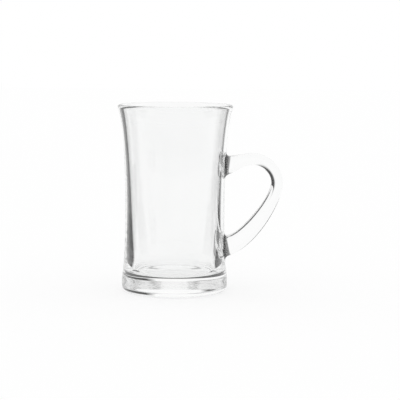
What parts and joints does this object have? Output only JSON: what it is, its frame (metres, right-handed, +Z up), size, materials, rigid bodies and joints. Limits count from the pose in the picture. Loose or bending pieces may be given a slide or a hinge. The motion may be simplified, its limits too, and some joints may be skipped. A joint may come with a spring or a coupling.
{
  "type": "beer mug",
  "caption": "Clear glass beer mug with a flared rim, drawn-in waist, heavy solid foot and an ear-shaped handle welded to its side.",
  "frame": {"origin": "the point of the table under the cup's axis, in the middle of the foot ring", "axes": "+Z up along the cup's axis, +X from the axis towards the handle, +Y away from the viewer when the handle is on the right"},
  "size_m": [0.115, 0.08, 0.13],
  "materials": {
    "cup_glass": "colourless, fire-polished",
    "handle_glass": "colourless, fire-polished"
  },
  "bodies": {
    "root": {"cup": "cup_glass", "handle": "handle_glass"}
  },
  "joints": []
}
